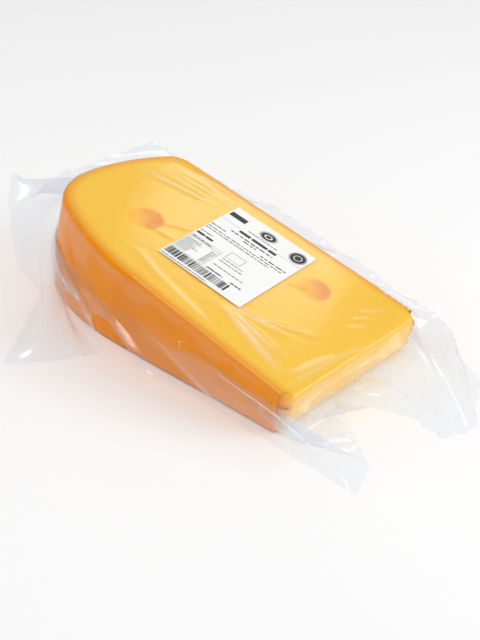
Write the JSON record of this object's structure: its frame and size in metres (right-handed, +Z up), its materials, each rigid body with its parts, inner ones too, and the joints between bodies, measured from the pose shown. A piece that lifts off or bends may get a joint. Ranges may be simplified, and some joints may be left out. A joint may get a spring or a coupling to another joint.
{
  "type": "cheese block",
  "caption": "Wedge of large-eyed hard cheese with its rind, lying on a cut face in a clear vacuum pouch with a plain white sticker on top.",
  "frame": {"origin": "bottom centre of the whole part's box, on the surface it lies on", "axes": "+X along the wedge from the heel, which is the wheel's rim, to the thin tip; +Y across the wheel's thickness, from the front rind face to the back one; +Z up"},
  "size_m": [0.443, 0.302, 0.0907],
  "materials": {
    "cheese": "smooth waxy hard cheese, pale yellow-orange on the cuts and deeper orange on the rind",
    "upper_film": "clear glossy vacuum pouch film, 0.1 to 0.15 mm thick, wrinkled and slightly milky where it stands clear",
    "lower_film": "clear glossy vacuum pouch film, 0.1 to 0.15 mm thick",
    "label": "matt white paper sticker with plain grey and black bars where print would be"
  },
  "bodies": {
    "root": {"cheese_wedge": "cheese", "upper_film": "upper_film", "lower_film": "lower_film", "label": "label"}
  },
  "joints": []
}
